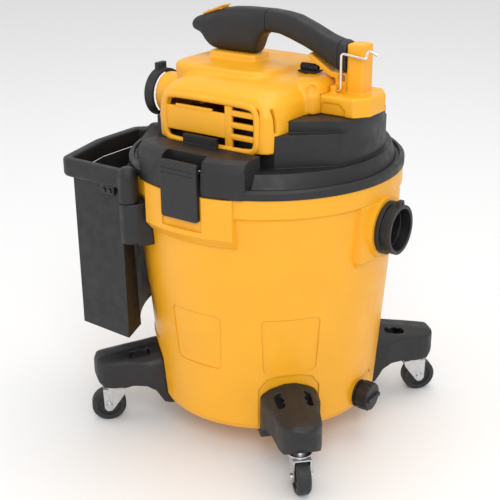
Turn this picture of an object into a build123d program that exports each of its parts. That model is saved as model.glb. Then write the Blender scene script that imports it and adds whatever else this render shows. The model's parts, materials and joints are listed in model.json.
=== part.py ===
from build123d import *
import math
import os

# Shop vacuum. Millimetres, +Z up, origin on the tank's axis at floor level.
# +X is the hose inlet side, -X the blower and accessory bin side, +Y and -Y the two latch sides.

# ---- running gear
WHEEL_R = 25.0            # 50 mm wheels stand on z = 0
WHEEL_W = 19.0
SWIVEL_R = 229.0          # swivel axis, distance from the tank's axis
TRAIL = 11.0              # wheel axle behind the swivel axis
AXLE_R = 3.0
STEM_R = 5.5
STEM_TOP = 88.0
RUN = 0.05                # radial clearance of a running fit
GAP = 0.3                 # clearance between separate bodies
FOOT_ANGLES = {"front_right": -45.0, "front_left": 45.0, "rear_left": 135.0, "rear_right": -135.0}

# ---- tank
TANK_BOTTOM = 44.0
TANK_R_LOW = 160.6        # outer radius at TANK_Z_LOW
TANK_Z_LOW = 56.0
TANK_R_HIGH = 184.5       # outer radius at TANK_Z_HIGH
TANK_Z_HIGH = 364.0
RIM_R = 189.4
RIM_TOP = 392.6
TANK_MOUTH_R = 184.5
INLET_Z = 328.0
INLET_BORE = 28.6
INLET_TIP = 213.5
DRAIN_Z = 66.0

# ---- latches
LATCH_HALF = 29.0
LATCH_FACE = 198.0
LATCH_BACK = 191.5
LATCH_LOW = 359.0
LATCH_TOP = 434.5
PIVOT_Y = 187.0
PIVOT_Z = 424.0
PIN_R = 2.5

# ---- lid
LID_BOTTOM = 393.0
LID_R = 191.0
DOME_TOP = 421.0
STEP_TOP = 463.0
DRUM_TOP = 478.0
DRUM_R = 165.0
SHELL = 3.0

# ---- motor cover and handle
COVER_BOTTOM = 463.3
BLOWER_Z = 461.0
BLOWER_R = 34.0
BLOWER_BORE = 28.6
BLOWER_TIP = -190.0
HANDLE_HALF = 17.0
REAR_TOP = 503.0
SWITCH_AT = (-82.0, 0.0, 588.0)
SWITCH_TILT = -21.8
HANDLE_SCREWS = (-64.0, -24.0)
CORD_R = 2.8
CORD_Z = 526.8
WIRE_R = 1.7
HOOK_Y = -19.0
HOOK_Z = 506.0

# ---- accessory bin
BIN_LOW = 153.0
BIN_TOP = 377.0
RAIL_LOW = 377.3
RAIL_TOP = 403.0
RAIL_X = -229.0
RAIL_HALF = 7.0
RIVET_X = (-136.0, -126.0)
RIVET_Z = 370.0
PEG_R = 11.0
PEG_LOW = 316.0
PEG_ANGLES = (-117.5, 178.0)
PEG_RHO = 207.0

COVER_SCREWS = ((-78, -100), (80, -100), (-78, 100), (80, 100))

# ---- motor and filter
MOTOR_R = 48.0
SHAFT_R = 4.0
FAN_R = 55.0
FILTER_R = 82.0
FILTER_CORE = 61.0
FILTER_TOP = 388.0
FILTER_LOW = 262.0


def turned(points):
    """Solid of revolution about Z from (radius, height) points."""
    outline = Polyline(*[(r, 0, z) for r, z in points], close=True)
    return revolve(make_face(outline), Axis.Z)


def ring(r_in, r_out, z0, z1):
    return turned([(r_in, z0), (r_out, z0), (r_out, z1), (r_in, z1)])


def rod(r, z0, z1):
    return Pos(0, 0, z0) * Cylinder(r, z1 - z0, align=(Align.CENTER, Align.CENTER, Align.MIN))


def rod_x(r, x0, x1, y=0.0, z=0.0):
    return Pos(x0, y, z) * Rot(0, 90, 0) * rod(r, 0, x1 - x0)


def rod_y(r, y0, y1, x=0.0, z=0.0):
    return Pos(x, y0, z) * Rot(-90, 0, 0) * rod(r, 0, y1 - y0)


def block(x0, x1, y0, y1, z0, z1):
    middle = ((x0 + x1) / 2, (y0 + y1) / 2, (z0 + z1) / 2)
    return Pos(*middle) * Box(x1 - x0, y1 - y0, z1 - z0)


def plate_z(points, z0, z1):
    """Prism over (x, y) points between two heights."""
    outline = Polyline(*[(x, y, z0) for x, y in points], close=True)
    return extrude(make_face(outline), z1 - z0, dir=(0, 0, 1))


def plate_y(points, half):
    """Prism over (x, z) points, symmetric about y = 0."""
    outline = Polyline(*[(x, -half, z) for x, z in points], close=True)
    return extrude(make_face(outline), 2 * half, dir=(0, 1, 0))


def plate_x(points, x0, x1):
    """Prism over (y, z) points between two x positions."""
    outline = Polyline(*[(x0, y, z) for y, z in points], close=True)
    return extrude(make_face(outline), x1 - x0, dir=(1, 0, 0))


def at_angle(shape, angle, rho=0.0):
    return Rot(0, 0, angle) * Pos(rho, 0, 0) * shape


def polar(rho, angle):
    return (rho * math.cos(math.radians(angle)), rho * math.sin(math.radians(angle)))


def tank_radius(z):
    slope = (TANK_R_HIGH - TANK_R_LOW) / (TANK_Z_HIGH - TANK_Z_LOW)
    return TANK_R_LOW + slope * (z - TANK_Z_LOW)


def tank_skin(depth, z0, z1):
    """Ring that reaches from a depth below the tank's outer surface to well outside it."""
    low = tank_radius(z0) - depth
    high = tank_radius(z1) - depth
    return turned([(low, z0), (high, z1), (high + 40, z1), (low + 40, z0)])


def latch_pad(grow):
    """Raised wall panel behind the latch on the -Y side."""
    ring_part = turned([(178, 325 - grow), (184 + grow, 325 - grow), (195.6 + grow, 339 - grow),
                        (195.6 + grow, RIM_TOP), (178, RIM_TOP)])
    wide = 70 + grow
    side = [(-wide, -166), (-wide, -180 - grow), (-wide + 16, -200), (wide - 16, -200), (wide, -180 - grow),
            (wide, -166)]
    return ring_part & plate_z(side, 300, RIM_TOP)


def build_tank():
    outer = turned([(0, TANK_BOTTOM), (148, TANK_BOTTOM), (157, 48), (TANK_R_LOW, TANK_Z_LOW),
                    (TANK_R_HIGH, TANK_Z_HIGH), (RIM_R, 368), (RIM_R, RIM_TOP), (0, RIM_TOP)])
    cavity = turned([(0, 49), (143, 49), (150, 52), (153.5, 58), (158, 140), (165, 150),
                     (181.3, 362), (TANK_MOUTH_R, 372), (TANK_MOUTH_R, 400), (0, 400)])
    for turn in (0, 180):
        outer += Rot(0, 0, turn) * latch_pad(0)
    seat = turned([(176, 276), (181, 282), (190, 290), (190, 366), (186, 372), (176, 372)])
    outer += seat & plate_x([(-44, 276), (44, 276), (52, 290), (52, 372), (-52, 372), (-52, 290)], 150, 200)
    outer += rod_x(42, 180, 192.5, z=INLET_Z)
    body = outer - cavity
    for turn in (0, 180):
        body -= Rot(0, 0, turn) * block(-31.5, 31.5, -210, -190.8, 346, 400)
    panel = plate_x([(-36, 140), (36, 140), (40, 221), (-40, 221)], 120, 220)
    panel = fillet(panel.edges().filter_by(Axis.X), 7)
    skin = tank_skin(1.5, 135, 225)
    for angle in (-90, -45, 45, 90, 135, 180, 225):
        body -= skin & at_angle(panel, angle)
    arch = plate_x([(-42, 40), (42, 40), (42, 114), (31, 130), (14, 135), (-14, 135), (-31, 130), (-42, 114)],
                   120, 220)
    low_skin = tank_skin(2.0, 40, 138)
    for angle in FOOT_ANGLES.values():
        body -= low_skin & at_angle(arch, angle)
    body -= plate_x([(-34, 40), (34, 40), (34, 82), (22, 96), (-22, 96), (-34, 82)], 158.8, 220)
    body -= rod_x(31.3, 150, 240, z=INLET_Z)
    body -= rod_x(13.3, 140, 170, z=DRAIN_Z)
    for angle in FOOT_ANGLES.values():
        for y in (-24, 24):
            body -= at_angle(Pos(0, y, 0) * rod(2.0, 40, 47.5), angle, 143)
    for angle in PEG_ANGLES:
        for z in (325, 346):
            body -= at_angle(rod_x(1.8, 175, 190, z=z), angle)
    return body


def build_inlet_collar():
    tube = rod_x(31, 158.5, INLET_TIP, z=INLET_Z) + rod_x(36, 192.8, 199, z=INLET_Z)
    tube += rod_x(33.5, INLET_TIP - 6, INLET_TIP, z=INLET_Z)
    tab = plate_x([(-8, INLET_Z + 29), (8, INLET_Z + 29), (5, INLET_Z + 40), (-5, INLET_Z + 40)],
                  INLET_TIP - 6, INLET_TIP)
    tube += tab - rod_x(2.2, 200, 220, z=INLET_Z + 36)
    return tube - rod_x(INLET_BORE, 198, 240, z=INLET_Z) - rod_x(INLET_BORE - 1, 150, 200, z=INLET_Z)


def build_inlet_nut():
    nut = rod_x(38, 166.6, 173.4, z=INLET_Z) - rod_x(31.15, 160, 180, z=INLET_Z)
    return nut & block(160, 180, -34, 34, 280, 376)


def build_inlet_elbow():
    start = 148.0
    bend = 36.0
    socket = rod_x(34.5, start, 166.3, z=INLET_Z) - rod_x(INLET_BORE - 1, start - 2, 170, z=INLET_Z)
    socket -= rod_x(31.15, 158, 170, z=INLET_Z)
    section = Plane(origin=(start, 0, INLET_Z), z_dir=(-1, 0, 0)) * (Circle(30.5) - Circle(INLET_BORE - 1))
    turned_down = revolve(section, Axis((start, 0, INLET_Z - bend), (0, -1, 0)), revolution_arc=70)
    return socket + turned_down


def build_drain_spout():
    spout = rod_x(13, 141, 174, z=DRAIN_Z) + rod_x(20, 159, 161.5, z=DRAIN_Z)
    spout += rod_x(16, 141, 144, z=DRAIN_Z)
    return spout - rod_x(9, 135, 180, z=DRAIN_Z)


def build_drain_cap():
    cap = rod_x(19.5, 163, 182, z=DRAIN_Z)
    cap = fillet(cap.edges().group_by(Axis.X)[-1], 1.5)
    cap -= rod_x(13 + GAP, 160, 175, z=DRAIN_Z)
    for step in range(12):
        lug = block(165, 180, 18.9, 20.6, -2.2, 2.2)
        cap += Pos(0, 0, DRAIN_Z) * Rot(step * 30, 0, 0) * lug
    grip = block(181, 185.5, -16, 16, DRAIN_Z - 3, DRAIN_Z + 3)
    return cap + fillet(grip.edges().filter_by(Axis.X), 2)


def build_foot(angle):
    side = plate_y([(136, 37), (150, 36), (160, 39), (172, 59), (185, 66), (205, 66), (211, 63), (245, 63),
                    (252, 68), (258, 79), (258, 101), (252, 106), (212, 118), (186, 122), (150, 124),
                    (150, 43.7), (136, 43.7)], 44)
    plan = plate_z([(130, -40), (178, -40), (212, -31), (234, -29), (246, -25), (254, -17), (259, 0), (254, 17),
                    (246, 25), (234, 29), (212, 31), (178, 40), (130, 40)], 20, 140)
    roof = plate_x([(-44, -110), (44, -110), (44, -27), (36, -14), (25, -6), (10, 0), (-10, 0), (-25, -6),
                    (-36, -14), (-44, -27)], -40, 140)
    foot = side & plan & (Pos(150, 0, 125) * Rot(0, 10, 0) * roof)
    foot -= turned([(0, 43.6), (149.5, 43.6), (158.2, 47.6), (tank_radius(56) - 1.6, 56),
                    (tank_radius(140) - 1.6, 140), (0, 140)])
    hollow = plate_y([(176, 40), (207, 40), (207, 112), (176, 116)], 24)
    foot -= fillet(hollow.edges().filter_by(Axis.Z), 5)
    foot -= Pos(SWIVEL_R, 0, 0) * rod(STEM_R + RUN, 50, STEM_TOP + 1)
    for y in (-24, 24):
        foot -= Pos(143, y, 0) * rod(2.3, 30, 45)
    return Rot(0, 0, angle) * foot


def build_foot_screws():
    screws = []
    for angle in FOOT_ANGLES.values():
        for y in (-24, 24):
            screw = rod(2.0, 35, 47) + rod(4.0, 33.6, 35.8)
            screw -= block(-3, 3, -0.5, 0.5, 33, 34.6) + block(-0.5, 0.5, -3, 3, 33, 34.6)
            screws.append(at_angle(Pos(0, y, 0) * screw, angle, 143))
    return Compound(screws)


def build_caster_fork(angle):
    axle = SWIVEL_R + TRAIL
    fork = Pos(SWIVEL_R, 0, 0) * (rod(STEM_R, 54, STEM_TOP) + rod(17, 54.2, 56.6) + rod(15, 52.4, 54.2))
    fork += Pos(SWIVEL_R, 0, 0) * rod(10, 56, 62.7)
    crown = block(SWIVEL_R - 15, axle + 8, -12.4, 12.4, 51, 53)
    cheek = plate_y([(SWIVEL_R - 15, 53), (axle + 8, 53), (axle + 7, 22), (axle + 3, 17), (axle - 3, 17),
                     (axle - 7, 21), (SWIVEL_R - 13, 44)], 12.4)
    cheek -= block(200, 270, -10.4, 10.4, 0, 51)
    fork += crown + cheek
    return Rot(0, 0, angle) * (fork - rod_y(AXLE_R, -20, 20, x=axle, z=WHEEL_R))


def build_caster_axle(angle):
    axle = SWIVEL_R + TRAIL
    pin = rod_y(AXLE_R, -13.6, 13.6, x=axle, z=WHEEL_R)
    pin += rod_y(5, -15, -12.5, x=axle, z=WHEEL_R) + rod_y(5, 12.5, 15, x=axle, z=WHEEL_R)
    return Rot(0, 0, angle) * pin


def build_caster_wheel(angle):
    axle = SWIVEL_R + TRAIL
    half = WHEEL_W / 2
    tread = turned([(AXLE_R + RUN, -half), (7, -half), (7.5, -half + 2.5), (16, -half + 2.5), (16.5, -half),
                    (WHEEL_R - 3, -half), (WHEEL_R, -half + 3), (WHEEL_R, half - 3), (WHEEL_R - 3, half),
                    (16.5, half), (16, half - 2.5), (7.5, half - 2.5), (7, half), (AXLE_R + RUN, half)])
    return Rot(0, 0, angle) * Pos(axle, 0, WHEEL_R) * Rot(90, 0, 0) * tread


def build_bin_bracket(angle):
    body = plate_z([(176, -16), (202, -16), (212, -14), (218.5, -8), (220.5, 0), (218.5, 8), (212, 14),
                    (202, 16), (176, 16)], 304, 360)
    body = fillet(body.edges().group_by(Axis.Z)[-1], 1.5)
    body += block(176, 200, -16, 16, 300, 305)
    body -= turned([(0, 290), (tank_radius(290) + 0.1, 290), (tank_radius(362) + 0.1, 362),
                    (RIM_R, 368), (RIM_R, 380), (0, 380)])
    body -= Pos(PEG_RHO, 0, 0) * rod(PEG_R + GAP, PEG_LOW - 1, 362)
    for z in (325, 346):
        body -= rod_x(2.0, 170, 202, z=z)
    return Rot(0, 0, angle) * body - latch_pad(0.3)


def build_bracket_screws():
    screws = []
    for angle in PEG_ANGLES:
        for z in (325, 346):
            start = tank_radius(z) - 6
            screws.append(Rot(0, 0, angle) * (rod_x(1.8, start, start + 13, z=z)
                                              + rod_x(3.4, start - 2.4, start + 0.2, z=z)))
    return Compound(screws)


def rail_path():
    near = polar(PEG_RHO, PEG_ANGLES[0])
    far = polar(PEG_RHO, PEG_ANGLES[1])
    return [near, (-207, -183), (RAIL_X, -92), (RAIL_X, -12), far]


def build_bin_frame():
    middle = (RAIL_LOW + RAIL_TOP) / 2
    points = [(x, y, middle) for x, y in rail_path()]
    path = FilletPolyline(*points, radius=12)
    start = path @ 0
    ahead = path % 0
    section = Plane(origin=start, x_dir=(0, 0, 1), z_dir=ahead) * RectangleRounded(
        RAIL_TOP - RAIL_LOW, 2 * RAIL_HALF, 4)
    frame = sweep(section, path)
    for angle in PEG_ANGLES:
        peg = rod(PEG_R, PEG_LOW, 366) + rod(13.5, 360.4, 396)
        peg += Pos(0, 0, 396) * (Sphere(13.5) & block(-20, 20, -20, 20, 0, 12))
        frame += at_angle(peg, angle, PEG_RHO)
    frame += block(-143, -119, -187.2, -181.4, 364, 390)
    for x in RIVET_X:
        frame -= rod_y(1.65, -195, -170, x=x, z=RIVET_Z)
    return frame


def bin_face(z, inset, inner):
    """Plan outline of the bin: straight outer sides and an inner side that follows the tank."""
    near = (-112 - inset, -180.5 + inset, z)
    start = (*polar(inner, -133 - inset * 0.2), z)
    middle = (*polar(inner, -154), z)
    far_y = -17 - inset
    end = (-math.sqrt(inner ** 2 - far_y ** 2), far_y, z)
    outer_x = RAIL_X + 4 + inset
    sides = Polyline(end, (outer_x, far_y, z), (outer_x, -92, z), (-203 + inset, -175 + inset, z), near, start)
    return make_face([ThreePointArc(start, middle, end), sides])


def build_bin():
    outer = loft([bin_face(BIN_LOW, 0.0, 187.0), bin_face(BIN_TOP, 0.0, 195.0)])
    cave = loft([bin_face(BIN_LOW + 2.5, 2.5, 189.6), bin_face(BIN_TOP + 1, 2.5, 197.6)])
    bin_shell = outer - cave
    for x in RIVET_X:
        bin_shell -= rod_y(1.65, -195, -170, x=x, z=RIVET_Z)
    return bin_shell


def build_bin_rivets():
    heads = []
    for x in RIVET_X:
        heads.append(rod_y(1.6, -187.8, -176, x=x, z=RIVET_Z) + rod_y(3.2, -189, -187.4, x=x, z=RIVET_Z))
    return Compound(heads)


def plinth(z0, z1, inset):
    """Raised block under the motor cover, cut to the drum's radius."""
    points = [(-96, -118), (92, -118), (150, -64), (170, -40), (170, 40), (150, 64), (92, 118), (-96, 118),
              (-118, 62), (-118, -62)]
    outline = [(x * (1 - inset / 130), y * (1 - inset / 130)) for x, y in points]
    return plate_z(outline, z0, z1) & rod(DRUM_R - inset, z0, z1)


def drum(z0, z1, inset):
    outline = Polyline((96.5, -93, z0), (158, -48, z0), (170, -40, z0), (170, 40, z0), (158, 48, z0), (96.5, 93, z0),
                       close=True)
    face = make_face(outline)
    if inset:
        face = offset(face, amount=-inset, kind=Kind.INTERSECTION)
    return extrude(face, z1 - z0, dir=(0, 0, 1)) & rod(DRUM_R - inset, z0, z1)


def latch_boss(inset, top):
    ring_part = turned([(100, LID_BOTTOM + inset), (193.4 - inset, LID_BOTTOM + inset), (195.4 - inset, 404),
                        (194.4 - inset, 426), (190 - inset, top - 4), (182 - inset, top), (100, top)])
    half = 84 - inset
    back = -138 - inset
    side = [(-half, back), (-half, -172 + inset), (-half + 22, -200), (half - 22, -200), (half, -172 + inset),
            (half, back)]
    return ring_part & plate_z(side, 380, top)


def build_lid():
    outer = turned([(0, LID_BOTTOM), (LID_R, LID_BOTTOM), (LID_R, 402), (188, 405), (184, 405), (183, 401.5),
                    (179.5, 401.5), (177.5, 406), (172, DOME_TOP), (0, DOME_TOP)])
    outer += ring(177.5, 181.0, 371, LID_BOTTOM + 1)
    outer += plinth(DOME_TOP - 1, STEP_TOP, 0) + drum(STEP_TOP - 1, DRUM_TOP, 0)
    for turn in (0, 180):
        outer += Rot(0, 0, turn) * (latch_boss(0, 441.5) + block(-35, 18, -141, -134.8, 430, 453))
    cavity = turned([(0, 360), (177.5, 360), (177.5, 396), (174, 404), (169, DOME_TOP - SHELL),
                     (0, DOME_TOP - SHELL)])
    cavity += plinth(DOME_TOP - SHELL - 1, STEP_TOP - SHELL, SHELL)
    cavity += drum(STEP_TOP - SHELL - 1, DRUM_TOP - SHELL, SHELL)
    for turn in (0, 180):
        room = latch_boss(SHELL, 438.5) - block(-34.5, 34.5, -215, -171, 402, 460)
        cavity += Rot(0, 0, turn) * (room & turned([(0, 390), (189, 390), (189, 460), (0, 460)]))
    lid = outer - cavity
    lid += ring(FAN_R + 0.6, FAN_R + 5, DOME_TOP, STEP_TOP - 1) + ring(38, 68, 418, 422) + ring(63, 68, 398.3, 419)
    lid -= rod(FAN_R + 0.6, 422, 470)
    lid -= rod_x(BLOWER_R + 0.3, -150, -86, z=BLOWER_Z)
    for turn in (0, 180):
        well = block(-31.5, 31.5, -215, -174, 405.5, 460) + block(-31.5, 31.5, -215, -191.2, 380, 460)
        pins = rod_x(PIN_R, -41, 41, y=-PIVOT_Y, z=PIVOT_Z)
        lid -= Rot(0, 0, turn) * (well + pins)
    for x, y in COVER_SCREWS:
        lid -= Pos(x, y, 0) * rod(2.3, 455, 470)
    for step in range(4):
        lid -= at_angle(rod(1.5, 398, 410), 45 + 90 * step, 65.5)
    return lid


def build_lid_gasket():
    return ring(181.2, 184.2, 381, 392)


def build_latch(turn):
    plate = block(-LATCH_HALF, LATCH_HALF, -LATCH_FACE, -LATCH_BACK, LATCH_LOW, LATCH_TOP)
    plate = fillet(plate.edges().filter_by(Axis.Y), 4)
    plate = fillet(plate.faces().sort_by(Axis.Y)[0].edges(), 1.8)
    plate -= block(-25, 25, -199, -LATCH_FACE + 0.8, 424, 426) + block(-25, 25, -199, -LATCH_FACE + 0.8, 418, 420)
    knuckle = rod_x(5, -22, 22, y=-PIVOT_Y, z=PIVOT_Z) + block(-22, 22, -192.5, -186, PIVOT_Z - 5, PIVOT_Z + 5)
    latch = plate + knuckle - rod_x(PIN_R + RUN, -30, 30, y=-PIVOT_Y, z=PIVOT_Z)
    return Rot(0, 0, turn) * latch


def build_latch_pins():
    pins = []
    for turn in (0, 180):
        pins.append(Rot(0, 0, turn) * rod_x(PIN_R, -40, 40, y=-PIVOT_Y, z=PIVOT_Z))
    return Compound(pins)


def cover_solid(inset):
    """Rounded motor cover, shrunk all round by an inset for its inside."""
    k = inset
    low = 430 if k else 440
    side = [(-133 + k, low), (-131 + k, 496), (-121 + k, 510 - k), (-78, 521 - k), (78, 521 - k),
            (121 - k, 510 - k), (131 - k, 496), (133 - k, low)]
    main = plate_x(side, -92 + k, 96 - k)
    main = fillet(main.edges().filter_by(Axis.X).sort_by(Axis.Z)[-4:], 8)
    plan = [(-92 + k, -118), (-74, -134 + k), (78, -134 + k), (96 - k, -118), (96 - k, 118), (78, 134 - k),
            (-74, 134 - k), (-92 + k, 118)]
    main &= plate_z(plan, 400, 560)
    tail = plate_z([(80, -58 + k), (98, -54 + k), (112 - k, -40), (112 - k, 40), (98, 54 - k), (80, 58 - k)],
                   470, 519 - k)
    return main + tail


def build_motor_cover():
    cover = cover_solid(0)
    crown = plate_z([(-112, -40), (-104, -66), (-86, -78), (20, -78), (40, -62), (46, -30), (46, 30), (40, 62),
                     (20, 78), (-86, 78), (-104, 66), (-112, 40)], 500, 527)
    crown = fillet(crown.edges().group_by(Axis.Z)[-1], 3)
    cover += crown + block(-84, -6, -21, 21, 520, 536)
    cover += rod_x(BLOWER_R - 3, -173, -80, z=BLOWER_Z)
    for x, y in COVER_SCREWS:
        cover += Pos(x, y, 0) * rod(5, COVER_BOTTOM, 514)
    hollow = cover_solid(SHELL)
    hollow += plate_z([(-98, -60), (-84, -72), (16, -72), (38, -58), (38, 58), (16, 72), (-84, 72), (-98, 60)],
                      490, 524)
    for x, y in COVER_SCREWS:
        hollow -= Pos(x, y, 0) * rod(5, COVER_BOTTOM, 514)
    cover -= hollow
    cover -= rod_x(BLOWER_BORE, -210, -85, z=BLOWER_Z)
    cover -= plinth(400, COVER_BOTTOM, -0.8)
    cover -= block(96, 200, -100, 100, 400, DRUM_TOP + GAP)
    cover -= block(99.6, 200, -40.4, 40.4, 470, REAR_TOP + GAP)
    for x, y in COVER_SCREWS:
        cover -= Pos(x, y, 0) * rod(2.0, COVER_BOTTOM - 1, 480)
    for x in HANDLE_SCREWS:
        cover -= Pos(x, 0, 0) * rod(2.3, 515, 540)
    for turn in (0, 180):
        cover -= Rot(0, 0, turn) * block(-66, 12, -140, -127, 446, 450)
        cover -= Rot(0, 0, turn) * block(-66, 12, -140, -127, 497, 501)
        cover -= Rot(0, 0, turn) * block(-64, 12, -118, -105, 505, 530)
        for z in (446, 461, 475.5, 490.5):
            cover -= Rot(0, 0, turn) * block(38, 72, -140, -126, z, z + 7)
    return cover


def build_rear_cover():
    foot = plate_z([(100, -40), (158, -40), (172, -20), (172, 20), (158, 40), (100, 40)], DRUM_TOP + GAP, REAR_TOP)
    foot = fillet(foot.edges().group_by(Axis.Z)[-1], 4)
    inside = plate_z([(103, -37), (156, -37), (169, -19), (169, 19), (156, 37), (103, 37)], 470, REAR_TOP - SHELL)
    post = block(131.4, 156, -14, 14, REAR_TOP - 4, 566)
    post = fillet(post.edges().filter_by(Axis.Z), 4)
    post = fillet(post.edges().group_by(Axis.Z)[-1], 3)
    slab = block(114, 133, -11, 11, REAR_TOP - 4, 527.4) - block(119, 128, -12, 12, 516, 525)
    ear = block(114, 122, -24, -10, REAR_TOP - 4, 512)
    strap = plate_y([(72, 543), (74, 548), (108, 527.4), (116, 527.4), (116, 519), (107, 520)], 11)
    cover = foot + post + slab + ear + strap - inside
    cover -= rod_x(WIRE_R + RUN, 105, 131, y=HOOK_Y, z=HOOK_Z)
    for y in (-30, 30):
        boss = Pos(112, y, 0) * rod(4.5, DRUM_TOP + GAP, REAR_TOP - 1)
        cover += boss - Pos(112, y, 0) * rod(1.6, DRUM_TOP, 495)
    for turn in (0, 180):
        arch = plate_x([(-20, 470), (20, 470), (20, 486), (12, 494), (-12, 494), (-20, 486)], 38.4, 60)
        cover -= Pos(126, 0, 0) * Rot(0, 0, turn + 90) * arch
    return cover


def build_wire_hook():
    points = [(113.5, HOOK_Y, HOOK_Z), (127, HOOK_Y, HOOK_Z), (127, HOOK_Y, 554), (163, HOOK_Y, 550),
              (163, HOOK_Y + 2, 562), (178, HOOK_Y + 2, 556)]
    path = FilletPolyline(*points, radius=4)
    return sweep(Plane(origin=points[0], z_dir=(1, 0, 0)) * Circle(WIRE_R), path)


def build_handle():
    side = [(-119, 566), (-117, 560), (-104, 556), (-96, 548), (-84, 537), (-78, 536.3), (-12, 536.3), (-9, 548),
            (-2, 560), (10, 567), (26, 566), (44, 561), (66, 554), (92, 545), (121, 528), (131, 528), (131, 567),
            (125, 569), (101, 574), (77, 584), (53, 593), (15, 597.5), (-27, 597), (-74, 591), (-94, 583),
            (-114, 576)]
    handle = plate_y(side, HANDLE_HALF)
    handle = fillet(handle.edges().filter_by(lambda e: abs(abs(e.center().Y) - HANDLE_HALF) < 0.01), 3.5)
    pocket = block(-15, 15, -9, 9, -16, 12)
    handle -= Pos(*SWITCH_AT) * Rot(0, SWITCH_TILT, 0) * pocket
    for x in HANDLE_SCREWS:
        handle -= Pos(x, 0, 0) * rod(2.05, 530, 548)
    return handle


def build_switch_bezel():
    frame = block(-17, 17, -11, 11, 0.2, 2.2) + block(-14.8, 14.8, -8.8, 8.8, -11, 1)
    frame -= block(-12.5, 12.5, -6.6, 6.6, -9.5, 5)
    return Pos(*SWITCH_AT) * Rot(0, SWITCH_TILT, 0) * (frame - rod_y(1.5, -8.5, 8.5, z=-3))


def build_switch_rocker():
    body = plate_y([(-10.8, 0.5), (-10.8, 3.4), (0, 1.6), (10.8, 0.5), (10.8, -1.0), (5, -6), (-5, -6)], 6.2)
    body += rod_y(1.45, -8, 8, z=-3)
    return Pos(*SWITCH_AT) * Rot(0, SWITCH_TILT, 0) * body


def build_cord_gland():
    gland = block(56, 83, -10, 10, 521.3, 523) + rod_x(4, 56, 82, z=CORD_Z)
    for step in range(5):
        gland += rod_x(5.2, 57 + 4.2 * step, 59.2 + 4.2 * step, z=CORD_Z)
    return gland - rod_x(CORD_R, 50, 90, z=CORD_Z)


def build_blower_collar():
    collar = ring(BLOWER_R - 2.8, BLOWER_R + 1, 0, 9) + ring(BLOWER_BORE, BLOWER_R + 1, -6, 0)
    collar = Pos(BLOWER_TIP + 6, 0, BLOWER_Z) * Rot(0, 90, 0) * collar
    tab = block(BLOWER_TIP, BLOWER_TIP + 7, -9, 9, BLOWER_Z + 32, BLOWER_Z + 43)
    tab -= block(BLOWER_TIP - 1, BLOWER_TIP + 8, -4, 4, BLOWER_Z + 36.5, BLOWER_Z + 40.5)
    return collar + tab - rod_x(BLOWER_BORE, BLOWER_TIP - 5, BLOWER_TIP + 15, z=BLOWER_Z)


def build_cover_screws():
    screws = []
    for x, y in COVER_SCREWS:
        screws.append(Pos(x, y, 0) * (rod(1.9, 458, 479) + rod(3.6, 457.4, 459.8)))
    return Compound(screws)


def build_handle_screws():
    return Compound([Pos(x, 0, 0) * (rod(2.0, 524.2, 546) + rod(4.0, 521, 523.8) + rod(2.0, 523, 525))
                     for x in HANDLE_SCREWS])


def build_motor_stator():
    core = ring(30, 46, 472, 498)
    for angle in (0, 180):
        core += at_angle(block(31, 44, -14, 14, 466.6, 504), angle)
    return core


def build_motor_bracket():
    cup = ring(46.2, 49, 467, 506)
    for angle in (0, 90):
        cup -= at_angle(block(-60, 60, -16, 16, 474, 500), angle + 45)
    bridge = block(-49, 49, -9, 9, 506, 509) + ring(9.2, 12, 505, 515)
    return cup + bridge - rod(9.2, 500, 516)


def build_motor_rotor():
    rotor = rod(SHAFT_R, 430, 515) + rod(28.5, 472, 498) + rod(12, 498, 503)
    rotor += rod(47, 431, 432.5) + rod(12, 431, 444) + ring(20, 47, 443, 444.5)
    for step in range(9):
        blade = Pos(0, 0, 432) * Rot(0, 0, step * 40) * (Pos(28, 0, 0) * Rot(0, 0, 35) * Box(
            30, 1.6, 11.5, align=(Align.CENTER, Align.CENTER, Align.MIN)))
        rotor += blade
    return rotor & rod(47, 420, 520)


def build_bearings():
    low = ring(SHAFT_R, 9, 457.5, 463.5)
    high = ring(SHAFT_R, 9.2, 508, 514)
    return Compound([low, high])


def build_fan_housing():
    housing = ring(0, FAN_R, 422.4, 466.6) - ring(0, FAN_R - 2, 424.4, 464.4) - rod(22, 420, 430)
    housing += ring(5, 14, 455, 465)
    housing -= ring(0, 9, 457.5, 463.5) + rod(5, 450, 470)
    for step in range(8):
        housing -= at_angle(block(45, 60, -9, 9, 449, 461), step * 45)
    return housing


def build_filter_cage():
    cage = ring(56.5, 59.5, 284, 398)
    for step in range(8):
        cage -= at_angle(block(50, 70, -14, 14, 296, 382), step * 45)
    cage += ring(20, 74, 394.5, 398) + ring(0, 59.5, 282, 285)
    for step in range(4):
        cage += at_angle(block(26.2, 57.5, -1.2, 1.2, 284, 395), 22.5 + step * 90)
        cage -= at_angle(rod(1.8, 390, 400), 45 + step * 90, 65.5)
    return cage + rod(5, 262, 283)


def build_cage_screws():
    return Compound([at_angle(rod(1.5, 394, 409.5) + rod(3, 392, 394.3), 45 + step * 90, 65.5)
                     for step in range(4)])


def build_float_ball():
    return Pos(0, 0, 311) * Sphere(25)


def build_filter():
    pleats = 48
    points = []
    for step in range(pleats):
        for rho, half in ((FILTER_R - 1, 0.0), (FILTER_R - 9, 0.5)):
            points.append(polar(rho, (step + half) * 360 / pleats))
    body = plate_z(points, 286, 384) + ring(50, FILTER_R, 380, 391) + ring(50, FILTER_R, 286, 294)
    return body - rod(60.2, 280, 395)


def build_filter_retainer():
    disc = ring(5 + GAP, 72, 279, 281.6) + ring(5 + GAP, 12, 262, 280)
    disc += plate_y([(-34, 266), (34, 266), (34, 280), (-34, 280)], 3) + ring(66, 72, 281, 285.6)
    return disc - rod(5 + GAP, 250, 290)


def save(name, shape):
    shape.label = name
    export_step(shape, os.path.join("parts", name + ".step"))


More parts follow.
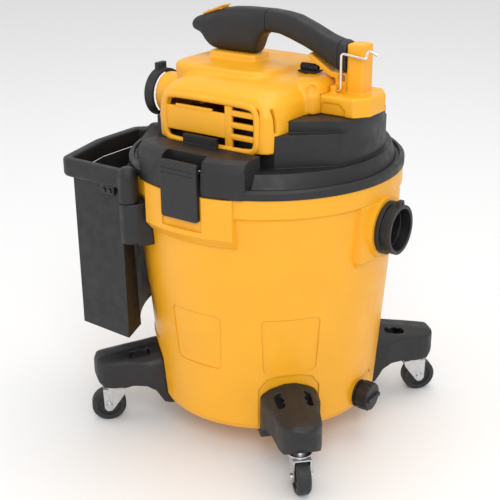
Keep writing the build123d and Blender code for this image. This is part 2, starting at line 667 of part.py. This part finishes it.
def build_all():
    save("tank", build_tank())
    save("inlet_collar", build_inlet_collar())
    save("inlet_nut", build_inlet_nut())
    save("inlet_elbow", build_inlet_elbow())
    save("drain_spout", build_drain_spout())
    save("drain_cap", build_drain_cap())
    for name, angle in FOOT_ANGLES.items():
        save("foot_" + name, build_foot(angle))
        save("caster_fork_" + name, build_caster_fork(angle))
        save("caster_axle_" + name, build_caster_axle(angle))
        save("caster_wheel_" + name, build_caster_wheel(angle))
    save("foot_screws", build_foot_screws())
    save("bin_bracket_near", build_bin_bracket(PEG_ANGLES[0]))
    save("bin_bracket_far", build_bin_bracket(PEG_ANGLES[1]))
    save("bracket_screws", build_bracket_screws())
    save("bin_frame", build_bin_frame())
    save("accessory_bin", build_bin())
    save("bin_rivets", build_bin_rivets())
    save("lid", build_lid())
    save("lid_gasket", build_lid_gasket())
    save("latch_right", build_latch(0))
    save("latch_left", build_latch(180))
    save("latch_pins", build_latch_pins())
    save("motor_cover", build_motor_cover())
    save("rear_cover", build_rear_cover())
    save("wire_hook", build_wire_hook())
    save("handle", build_handle())
    save("switch_bezel", build_switch_bezel())
    save("switch_rocker", build_switch_rocker())
    save("cord_gland", build_cord_gland())
    save("blower_collar", build_blower_collar())
    save("cover_screws", build_cover_screws())
    save("handle_screws", build_handle_screws())
    save("motor_stator", build_motor_stator())
    save("motor_bracket", build_motor_bracket())
    save("motor_rotor", build_motor_rotor())
    save("motor_bearings", build_bearings())
    save("fan_housing", build_fan_housing())
    save("filter_cage", build_filter_cage())
    save("cage_screws", build_cage_screws())
    save("float_ball", build_float_ball())
    save("filter", build_filter())
    save("filter_retainer", build_filter_retainer())


os.makedirs("parts", exist_ok=True)
build_all()
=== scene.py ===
import json
import math

import bmesh
import bpy
from mathutils import Matrix, Vector


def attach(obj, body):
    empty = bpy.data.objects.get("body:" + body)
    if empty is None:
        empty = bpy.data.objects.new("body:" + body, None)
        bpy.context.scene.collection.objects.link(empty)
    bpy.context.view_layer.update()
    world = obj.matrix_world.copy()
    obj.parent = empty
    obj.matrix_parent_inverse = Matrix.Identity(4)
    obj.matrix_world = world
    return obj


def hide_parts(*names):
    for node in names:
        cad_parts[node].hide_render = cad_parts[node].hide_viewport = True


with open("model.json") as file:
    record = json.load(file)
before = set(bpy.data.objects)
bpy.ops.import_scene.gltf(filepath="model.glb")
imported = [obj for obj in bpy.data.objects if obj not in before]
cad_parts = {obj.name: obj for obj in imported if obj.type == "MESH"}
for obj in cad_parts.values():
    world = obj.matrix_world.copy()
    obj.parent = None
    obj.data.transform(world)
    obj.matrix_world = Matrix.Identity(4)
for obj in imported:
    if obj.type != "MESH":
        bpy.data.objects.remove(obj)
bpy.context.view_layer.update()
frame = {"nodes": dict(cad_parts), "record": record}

NODES = frame["nodes"]
MM = 0.001

# Places and sizes that the CAD states, in millimetres
BLOWER_Z = 461.0
BLOWER_BORE = 28.6
COVER_BOTTOM = 463.3
REAR_LOW = 478.3           # the rear cover stands from here
REAR_TOP = 503.3           # and its foot ends here
SWITCH_AT = (-82, 0, 588)
SWITCH_TILT = -21.8


# ---------------------------------------------------------------- materials

def node(tree, kind, x, y, **values):
    """Shader node at a place in the node editor, with its input values."""
    made = tree.nodes.new(kind)
    made.location = (x, y)
    for name, value in values.items():
        made.inputs[name.replace("_", " ")].default_value = value
    return made


def ramp(tree, source, low, high, low_at, high_at, x, y):
    """Colours from low to high as the source goes from low_at to high_at."""
    made = tree.nodes.new("ShaderNodeValToRGB")
    made.location = (x, y)
    made.color_ramp.elements[0].position = low_at
    made.color_ramp.elements[1].position = high_at
    made.color_ramp.elements[0].color = low
    made.color_ramp.elements[1].color = high
    tree.links.new(source, made.inputs["Fac"])
    return made.outputs["Color"]


def grey(value):
    return (value, value, value, 1.0)


def shade(colour, factor):
    return (*[min(1.0, c * factor) for c in colour], 1.0)


def relief(tree, shader, height, bump, depth, round_mm):
    """Bump from a texture, over edges that catch the light as rounded ones do."""
    edge = node(tree, "ShaderNodeBevel", -450, -500, Radius=round_mm * MM)
    edge.samples = 6
    surface = node(tree, "ShaderNodeBump", -200, -400, Strength=bump, Distance=depth)
    tree.links.new(height, surface.inputs["Height"])
    tree.links.new(edge.outputs["Normal"], surface.inputs["Normal"])
    tree.links.new(surface.outputs["Normal"], shader.inputs["Normal"])


def plastic(name, colour, rough=0.45, grain=900.0, bump=0.12, vary=0.06, round_mm=1.2, gloss_spread=0.10,
            scuff=0.0):
    """Moulded plastic: fine spark-eroded grain, cloudy colour, uneven gloss and rounded edges."""
    made = bpy.data.materials.new(name)
    made.use_nodes = True
    tree = made.node_tree
    shader = tree.nodes["Principled BSDF"]
    place = node(tree, "ShaderNodeTexCoord", -1300, 0).outputs["Object"]
    cloud = node(tree, "ShaderNodeTexNoise", -1050, 250, Scale=14.0, Detail=5.0, Roughness=0.6)
    fine = node(tree, "ShaderNodeTexNoise", -1050, -50, Scale=grain, Detail=3.0, Roughness=0.65)
    flow = node(tree, "ShaderNodeTexNoise", -1050, -350, Scale=60.0, Detail=4.0, Roughness=0.55)
    for texture in (cloud, fine, flow):
        tree.links.new(place, texture.inputs["Vector"])
    base = ramp(tree, cloud.outputs["Fac"], shade(colour, 1 - vary), shade(colour, 1 + vary), 0.3, 0.7, -800, 300)
    speck = node(tree, "ShaderNodeMix", -450, 300)
    speck.data_type = "RGBA"
    speck.blend_type = "MULTIPLY"
    speck.inputs["Factor"].default_value = 0.35
    tree.links.new(base, speck.inputs["A"])
    pits = ramp(tree, fine.outputs["Fac"], grey(0.82), grey(1.0), 0.35, 0.6, -800, 60)
    tree.links.new(pits, speck.inputs["B"])
    tree.links.new(speck.outputs["Result"], shader.inputs["Base Color"])
    gloss = ramp(tree, flow.outputs["Fac"], grey(rough - gloss_spread), grey(rough + gloss_spread + scuff),
                 0.3, 0.7, -450, -100)
    tree.links.new(gloss, shader.inputs["Roughness"])
    relief(tree, shader, fine.outputs["Fac"], bump, 0.0004, round_mm)
    return made


def metal(name, colour, rough=0.3, brush=(40.0, 40.0, 900.0), bump=0.06, round_mm=0.5, stain=0.12):
    """Plated or bare metal with drawn lines, uneven gloss and a little staining."""
    made = bpy.data.materials.new(name)
    made.use_nodes = True
    tree = made.node_tree
    shader = tree.nodes["Principled BSDF"]
    shader.inputs["Metallic"].default_value = 1.0
    place = node(tree, "ShaderNodeTexCoord", -1300, 0).outputs["Object"]
    stretch = node(tree, "ShaderNodeMapping", -1150, 0)
    stretch.inputs["Scale"].default_value = brush
    tree.links.new(place, stretch.inputs["Vector"])
    lines = node(tree, "ShaderNodeTexNoise", -950, 0, Scale=1.0, Detail=4.0, Roughness=0.7)
    cloud = node(tree, "ShaderNodeTexNoise", -950, -300, Scale=90.0, Detail=5.0, Roughness=0.6)
    tree.links.new(stretch.outputs["Vector"], lines.inputs["Vector"])
    tree.links.new(place, cloud.inputs["Vector"])
    base = ramp(tree, cloud.outputs["Fac"], shade(colour, 1 - stain), shade(colour, 1.04), 0.3, 0.65, -650, 200)
    tree.links.new(base, shader.inputs["Base Color"])
    gloss = ramp(tree, lines.outputs["Fac"], grey(rough - 0.08), grey(rough + 0.14), 0.3, 0.7, -650, -100)
    tree.links.new(gloss, shader.inputs["Roughness"])
    relief(tree, shader, lines.outputs["Fac"], bump, 0.0003, round_mm)
    return made


YELLOW = (0.90, 0.41, 0.010)
BLACK = (0.011, 0.011, 0.012)
PLASTICS = {
    "yellow_shell": dict(colour=YELLOW, rough=0.38, grain=1400.0, bump=0.06, vary=0.035, round_mm=1.6),
    "yellow_trim": dict(colour=YELLOW, rough=0.36, grain=1400.0, bump=0.05, vary=0.03, round_mm=0.8),
    "black_moulding": dict(colour=BLACK, rough=0.50, grain=1100.0, bump=0.22, vary=0.10, round_mm=1.8),
    "latch_black": dict(colour=(0.012, 0.012, 0.013), rough=0.40, grain=1300.0, bump=0.12, vary=0.08),
    "grip_black": dict(colour=BLACK, rough=0.50, grain=1600.0, bump=0.30, vary=0.08),
    "bin_sheet": dict(colour=(0.013, 0.013, 0.014), rough=0.58, grain=1900.0, bump=0.30, vary=0.12),
    "switch_black": dict(colour=(0.02, 0.02, 0.02), rough=0.30, grain=900.0, bump=0.04, round_mm=0.6),
    "gland_rubber": dict(colour=(0.016, 0.016, 0.017), rough=0.7, grain=1500.0, bump=0.2, round_mm=0.5),
    "gasket_foam": dict(colour=(0.02, 0.02, 0.021), rough=0.85, grain=2200.0, bump=0.6, round_mm=0.4),
    "cage_black": dict(colour=(0.02, 0.02, 0.022), rough=0.5, grain=1100.0, bump=0.15, round_mm=0.8),
    "wheel_tread": dict(colour=(0.018, 0.018, 0.019), rough=0.55, grain=1500.0, bump=0.25, scuff=0.15),
    "float_white": dict(colour=(0.78, 0.76, 0.70), rough=0.4, grain=900.0, bump=0.05),
    "filter_paper": dict(colour=(0.74, 0.71, 0.62), rough=0.9, grain=2600.0, bump=0.6, round_mm=0.3),
}
METALS = {
    "rivet_black": dict(colour=(0.07, 0.07, 0.07), rough=0.4),
    "zinc_plate": dict(colour=(0.62, 0.63, 0.65), rough=0.26),
    "screw_steel": dict(colour=(0.5, 0.51, 0.53), rough=0.32),
    "wire_steel": dict(colour=(0.82, 0.82, 0.83), rough=0.2),
    "lamination_steel": dict(colour=(0.35, 0.34, 0.33), rough=0.4, brush=(60.0, 60.0, 2600.0)),
    "cast_bracket": dict(colour=(0.6, 0.6, 0.62), rough=0.5, brush=(500.0, 500.0, 500.0), bump=0.2),
    "bearing_steel": dict(colour=(0.66, 0.66, 0.66), rough=0.18),
    "fan_shell": dict(colour=(0.5, 0.5, 0.5), rough=0.38),
}
MATERIALS = {name: plastic(name, **look) for name, look in PLASTICS.items()}
MATERIALS.update({name: metal(name, **look) for name, look in METALS.items()})


def dress(piece, material):
    piece.data.materials.clear()
    piece.data.materials.append(MATERIALS[material])


for part in frame["record"]["subparts"]:
    dress(NODES[part["node"]], part["material_slot"])


# ---------------------------------------------------------------- shaping tools

def new_object(name, data):
    """Object that shows in the scene."""
    made = bpy.data.objects.new(name, data)
    bpy.context.scene.collection.objects.link(made)
    return made


def finish_mesh(work, name):
    """Mesh from the work mesh, with its normals outward."""
    bmesh.ops.recalc_face_normals(work, faces=work.faces)
    mesh = bpy.data.meshes.new(name)
    work.to_mesh(mesh)
    work.free()
    return mesh


def skin(rings):
    """Closed mesh through rings of equal point counts, given in millimetres."""
    work = bmesh.new()
    rows = [[work.verts.new(Vector(p) * MM) for p in ring] for ring in rings]
    count = len(rows[0])
    for low, high in zip(rows, rows[1:]):
        for i in range(count):
            j = (i + 1) % count
            work.faces.new((low[i], low[j], high[j], high[i]))
    work.faces.new(rows[0][::-1])
    work.faces.new(rows[-1])
    return finish_mesh(work, "skin")


def squircle(half_a, half_b, power, count=96):
    """Points of a rounded rectangle about the origin."""
    points = []
    for step in range(count):
        angle = 2 * math.pi * (step + 0.5) / count
        c, s = math.cos(angle), math.sin(angle)
        a = half_a * math.copysign(abs(c) ** (2 / power), c)
        b = half_b * math.copysign(abs(s) ** (2 / power), s)
        points.append((a, b))
    return points


def stack_z(cx, levels):
    """Rounded block about (cx, 0) made of levels (height, half length, half width, squareness)."""
    return skin([[(cx + a, b, z) for a, b in squircle(hx, hy, power)] for z, hx, hy, power in levels])


def stack_x(stations):
    """Bar made of stations (x, low, high, half width, squareness)."""
    rings = []
    for x, low, high, half, power in stations:
        middle = (low + high) / 2
        rings.append([(x, a, middle + b) for a, b in squircle(half, (high - low) / 2, power, 48)])
    return skin(rings)


def prism(points, z0, z1):
    """Upright prism over an outline."""
    return skin([[(x, y, z0) for x, y in points], [(x, y, z1) for x, y in points]])


def slab(x0, x1, y0, y1, z0, z1, radius, turn=0.0):
    """Rounded block between two corners, turned about the X line through its middle."""
    work = bmesh.new()
    bmesh.ops.create_cube(work, size=1.0)
    size = Vector((x1 - x0, y1 - y0, z1 - z0)) * MM
    middle = Vector((x0 + x1, y0 + y1, z0 + z1)) * MM / 2
    bmesh.ops.scale(work, vec=size, verts=work.verts)
    if radius:
        bmesh.ops.bevel(work, geom=work.edges[:], offset=radius * MM, segments=3, profile=0.5, affect="EDGES")
    spin = Matrix.Translation(middle) @ Matrix.Rotation(math.radians(turn), 4, "X")
    bmesh.ops.transform(work, matrix=spin, verts=work.verts)
    return finish_mesh(work, "slab")


def tube_x(stations, cy=0.0, cz=0.0, count=72):
    """Round bar along X made of stations (x, radius)."""
    rings = []
    for x, radius in stations:
        ring = []
        for step in range(count):
            angle = 2 * math.pi * step / count
            ring.append((x, cy + radius * math.cos(angle), cz + radius * math.sin(angle)))
        rings.append(ring)
    return skin(rings)


def loop_bar(points, y, radius, sides=12, ease=0.35, depth=0.75):
    """Closed bar through the given (x, z) corners, with its corners eased and its section flattened in y."""
    path = []
    count = len(points)
    for i in range(count):
        before, here, after = (Vector(points[k % count]) for k in (i - 1, i, i + 1))
        for t in (0.0, 0.25, 0.5, 0.75, 1.0):
            first = here.lerp(before, ease)
            last = here.lerp(after, ease)
            path.append(first.lerp(here, t).lerp(here.lerp(last, t), t))
    work = bmesh.new()
    rows = []
    for i, spot in enumerate(path):
        along = (path[(i + 1) % len(path)] - path[i - 1]).normalized()
        across = Vector((along.y, -along.x))
        row = []
        for step in range(sides):
            angle = 2 * math.pi * step / sides
            out = across * (radius * math.cos(angle))
            side = y + depth * radius * math.sin(angle)
            row.append(work.verts.new(Vector((spot.x + out.x, side, spot.y + out.y)) * MM))
        rows.append(row)
    for low, high in zip(rows, rows[1:] + rows[:1]):
        for i in range(sides):
            j = (i + 1) % sides
            work.faces.new((low[i], low[j], high[j], high[i]))
    return finish_mesh(work, "loop_bar")


def mirrored(mesh):
    """The same mesh turned half a turn about Z."""
    copy = mesh.copy()
    copy.transform(Matrix.Rotation(math.pi, 4, "Z"))
    return copy


def joined(name, meshes):
    """One mesh that holds all the given ones."""
    work = bmesh.new()
    for mesh in meshes:
        work.from_mesh(mesh)
    mesh = bpy.data.meshes.new(name)
    work.to_mesh(mesh)
    work.free()
    return mesh


def settle(piece):
    """Applies the piece's modifiers."""
    graph = bpy.context.evaluated_depsgraph_get()
    mesh = bpy.data.meshes.new_from_object(piece.evaluated_get(graph))
    piece.modifiers.clear()
    piece.data = mesh
    return piece


def fuse(name, meshes, voxel, passes):
    """One skin over overlapping closed meshes, with every corner eased."""
    piece = new_object(name, joined(name, meshes))
    remesh = piece.modifiers.new("fuse", "REMESH")
    remesh.mode = "VOXEL"
    remesh.voxel_size = voxel * MM
    ease = piece.modifiers.new("ease", "SMOOTH")
    ease.factor = 0.5
    ease.iterations = passes
    return settle(piece)


def carve(piece, meshes):
    """Takes closed meshes out of the piece."""
    for mesh in meshes:
        tool = new_object("tool", mesh)
        boolean = piece.modifiers.new("carve", "BOOLEAN")
        boolean.operation = "DIFFERENCE"
        boolean.solver = "EXACT"
        boolean.object = tool
        settle(piece)
        bpy.data.objects.remove(tool)
    return piece


def smooth(piece, angle):
    """Smooth shading, except across edges sharper than the angle."""
    piece.data.polygons.foreach_set("use_smooth", [True] * len(piece.data.polygons))
    piece.data.set_sharp_from_angle(angle=math.radians(angle))
    return piece


def stands_for(piece, material, body, cad_node):
    """Material, body and the CAD node that the piece replaces."""
    dress(piece, material)
    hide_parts(cad_node)
    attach(piece, body)
    return piece


def softened(cad_node, voxel, passes, body, material):
    """The CAD node with its corners eased as moulding leaves them."""
    piece = fuse(cad_node + "_moulded", [NODES[cad_node].data], voxel, passes)
    return stands_for(smooth(piece, 50), material, body, cad_node)


# ---------------------------------------------------------------- motor cover

COVER_X = 2                # middle of the cover's main block
CROWN_X = -33              # middle of the raised block on it
COVER_WALL = 3
COVER_VOXEL = 1.8
COVER_EASE = 7


def cover_levels(inset):
    """Levels of the main block, or of its inside, which is open below."""
    levels = [(440, 94, 133, 9), (468, 95.5, 133, 9), (486, 95, 132, 8.5), (498, 93, 129.5, 7.5),
              (507, 88, 121, 6.5), (513.5, 80, 108, 5.5), (518, 68, 93, 4.8), (520.6, 52, 72, 4.2)]
    if not inset:
        return levels
    return [(z - inset if z > 460 else 425, hx - inset, hy - inset, power) for z, hx, hy, power in levels]


def crown_levels(inset):
    levels = [(500, 77, 76, 5.5), (519, 79, 77, 5.5), (524, 78, 76, 5.5), (526.4, 75.5, 73.5, 5.5),
              (527, 71, 69, 5)]
    return [(z - inset, hx - inset, hy - inset, power) for z, hx, hy, power in levels]


def grille_parts():
    """Plain plate with its upper strip, upright, slats and frame rail that fill the vent opening."""
    parts = [slab(-67, 27, -133.6, -128.5, 454, 486, 1.8), slab(-52, 6, -133.8, -129, 484.5, 489, 1.4)]
    parts.append(slab(26, 37, -133.0, -127.5, 440, 504, 1.6))
    for low in (454.0, 469.0, 484.0):
        parts.append(slab(35, 76, -132.8, -127.5, low, low + 7.5, 1.8))
    rail = [(-70, 449), (-70, 492), (-62, 501), (66, 501), (75, 492), (75, 449), (66, 440.5), (-62, 440.5)]
    parts.append(loop_bar(rail, -132.6, 4.2))
    return parts


def lid_plinth():
    """Room for the lid's raised block, which the cover sits over."""
    outline = [(-96, -118), (92, -118), (150, -64), (170, -40), (170, 40), (150, 64), (92, 118), (-96, 118),
               (-118, 62), (-118, -62)]
    clearance = 1.006
    return prism([(x * clearance, y * clearance) for x, y in outline], 380, COVER_BOTTOM)


def make_motor_cover():
    block = stack_z(COVER_X, cover_levels(0))
    crown = stack_z(CROWN_X, crown_levels(0))
    tail = stack_z(86, [(478.6, 26, 55, 5), (500, 26, 53, 5), (511, 24, 50, 4.5), (517, 20, 44, 4),
                        (520, 13, 33, 3.5)])
    pedestal = stack_z(-45, [(518, 41, 24, 5), (526, 40, 22, 6), (534, 39.5, 21.5, 6), (536, 38.5, 20.5, 6)])
    neck = tube_x([(-84, 47), (-94, 42), (-102, 37), (-112, 33), (-124, 31), (-173, 31)], cz=BLOWER_Z)
    cover = fuse("motor_cover_shell", [block, crown, tail, pedestal, neck], COVER_VOXEL, COVER_EASE)
    insides = [stack_z(COVER_X, cover_levels(COVER_WALL)), stack_z(CROWN_X, crown_levels(COVER_WALL)), lid_plinth()]
    rear_room = [slab(96, 220, -120, 120, 380, REAR_LOW, 0), slab(99.6, 220, -40.4, 40.4, 460, REAR_TOP, 0)]
    bore = tube_x([(-230, BLOWER_BORE), (-80, BLOWER_BORE)], cz=BLOWER_Z)
    opening = slab(-66, 77, -140, -124, 444, 499, 7)
    groove = slab(-62, 14, -122, -108, 510.5, 514.5, 1.5, turn=38)
    corner = slab(84, 104, -119.5, -115.5, 467, 497, 1.5)
    dimple = tube_x([(94, 4.0), (97, 9), (101, 11), (108, 11)], cy=-52, cz=512)
    carve(cover, insides + rear_room + [bore, opening, mirrored(opening), groove, mirrored(groove),
                                        corner, mirrored(corner), dimple])
    frills = grille_parts()
    cover.data = joined("motor_cover_shell", [cover.data] + frills + [mirrored(part) for part in frills])
    stands_for(smooth(cover, 40), "yellow_shell", "power_head", "motor_cover")


# ---------------------------------------------------------------- handle

# Height of the top and the underside, and half the width, along the handle
HANDLE_TOP = ((-119, 568), (-116, 574), (-110, 578), (-94, 583.5), (-74, 591), (-50, 595.3), (-27, 597), (15, 597.4),
              (35, 596), (53, 593), (77, 584), (101, 573.5), (117, 568.5), (125, 568), (131, 565))
HANDLE_LOW = ((-119, 563), (-115, 559), (-104, 556), (-99, 552), (-95, 546), (-88, 539.5), (-80, 536.4), (-13, 536.3),
              (-10, 541), (-7, 550), (-3, 559), (4, 565), (12, 567), (26, 566.3), (44, 561), (66, 553.5), (84, 546),
              (98, 538), (112, 531), (121, 528.4), (131, 528))
HANDLE_HALF = ((-119, 9), (-116, 12), (-108, 14.5), (-96, 16.2), (-80, 17), (-14, 17), (-4, 15.5), (10, 14.2),
               (30, 14), (60, 14.6), (92, 15), (108, 15.8), (117, 17), (131, 17))
HANDLE_STEP = 2
HANDLE_SQUARENESS = 3.4
HANDLE_VOXEL = 1.3
HANDLE_EASE = 9
SEAMS = (6, 119)
SEAM_WIDTH = 1.2
SEAM_DEPTH = 0.9


def between(table, x):
    """Value at x on the straight lines between (x, value) pairs."""
    for (x0, v0), (x1, v1) in zip(table, table[1:]):
        if x <= x1:
            t = max(0.0, (x - x0) / (x1 - x0))
            return v0 + (v1 - v0) * t
    return table[-1][1]


def handle_bar(name, inset):
    """The handle's whole bar, thinner all round by the inset."""
    stations = []
    for x in range(HANDLE_TOP[0][0], HANDLE_TOP[-1][0] + 1, HANDLE_STEP):
        stations.append((x, between(HANDLE_LOW, x) + inset, between(HANDLE_TOP, x) - inset,
                         between(HANDLE_HALF, x) - inset, HANDLE_SQUARENESS))
    return fuse(name, [stack_x(stations)], HANDLE_VOXEL, HANDLE_EASE)


def seam_cuts():
    """Thin rings that go SEAM_DEPTH into the handle's skin."""
    core = handle_bar("core", SEAM_DEPTH)
    cuts = []
    for x in SEAMS:
        plate = slab(x, x + SEAM_WIDTH, -20, 20, between(HANDLE_LOW, x) - 2, between(HANDLE_TOP, x) + 2, 0)
        ring = new_object("seam", plate)
        carve(ring, [core.data.copy()])
        cuts.append(ring.data)
        bpy.data.objects.remove(ring)
    bpy.data.objects.remove(core)
    return cuts


def make_handle():
    body = handle_bar("handle_shell", 0)
    pocket = slab(-15.2, 15.2, -9.2, 9.2, -16, 14, 0)
    tilt = Matrix.Rotation(math.radians(SWITCH_TILT), 4, "Y")
    pocket.transform(Matrix.Translation(Vector(SWITCH_AT) * MM) @ tilt)
    carve(body, seam_cuts() + [pocket])
    stands_for(smooth(body, 38), "grip_black", "power_head", "handle")


# ---------------------------------------------------------------- floor, light and camera

def floor():
    """Plain pale floor, 12 m square."""
    mesh = bpy.data.meshes.new("floor")
    mesh.from_pydata([(-6, -6, 0), (6, -6, 0), (6, 6, 0), (-6, 6, 0)], [], [(0, 1, 2, 3)])
    material = bpy.data.materials.new("pale_floor")
    material.use_nodes = True
    shader = material.node_tree.nodes["Principled BSDF"]
    shader.inputs["Base Color"].default_value = grey(0.86)
    shader.inputs["Roughness"].default_value = 0.7
    mesh.materials.append(material)
    new_object("floor", mesh)


def area_light(name, place, size, power, target=(0, 0, 0.3)):
    """Round soft light that looks at the object."""
    light = bpy.data.lights.new(name, "AREA")
    light.shape = "DISK"
    light.size = size
    light.energy = power
    made = new_object(name, light)
    made.location = place
    made.rotation_euler = (Vector(target) - Vector(place)).to_track_quat("-Z", "Y").to_euler()


def studio_world():
    """Even white light from all round."""
    world = bpy.data.worlds.new("studio")
    world.use_nodes = True
    world.node_tree.nodes["Background"].inputs["Color"].default_value = grey(1.0)
    world.node_tree.nodes["Background"].inputs["Strength"].default_value = 0.78
    bpy.context.scene.world = world
    bpy.context.scene.view_settings.view_transform = "Standard"


CAMERA_TURN = math.radians(34.01)     # about the tank's axis, from -Y towards +X
CAMERA_LIFT = math.radians(22.21)
CAMERA_AIM = Vector((0, 0, 0.247))
CAMERA_ASIDE = 0.0068
CAMERA_DISTANCE = 1.4937


def camera():
    turn, lift = CAMERA_TURN, CAMERA_LIFT
    back = Vector((math.sin(turn) * math.cos(lift), -math.cos(turn) * math.cos(lift), math.sin(lift)))
    right = Vector((math.cos(turn), math.sin(turn), 0))
    up = back.cross(right)
    made = new_object("camera", bpy.data.cameras.new("camera"))
    axes = Matrix((right, up, back)).transposed().to_4x4()
    spot = CAMERA_AIM + right * CAMERA_ASIDE + back * CAMERA_DISTANCE
    made.matrix_world = Matrix.Translation(spot) @ axes
    made.data.sensor_width = 36.0
    made.data.lens = 74.06
    made.data.shift_x = -0.0434
    made.data.shift_y = 0.0056
    made.data.clip_end = 50
    bpy.context.scene.camera = made


make_motor_cover()
make_handle()
for corner in ("front_right", "front_left", "rear_left", "rear_right"):
    softened("foot_" + corner, 1.8, 9, "tank_body", "black_moulding")
softened("rear_cover", 1.1, 5, "power_head", "yellow_shell")
softened("bin_frame", 1.4, 6, "bin", "black_moulding")
for side in ("near", "far"):
    softened("bin_bracket_" + side, 1.2, 5, "tank_body", "black_moulding")

floor()
camera()
area_light("key", (1.9, -2.4, 2.6), 2.0, 50)
area_light("fill", (-2.6, -2.0, 1.6), 2.2, 10)
area_light("top", (0.2, 0.4, 3.2), 2.4, 30)
studio_world()
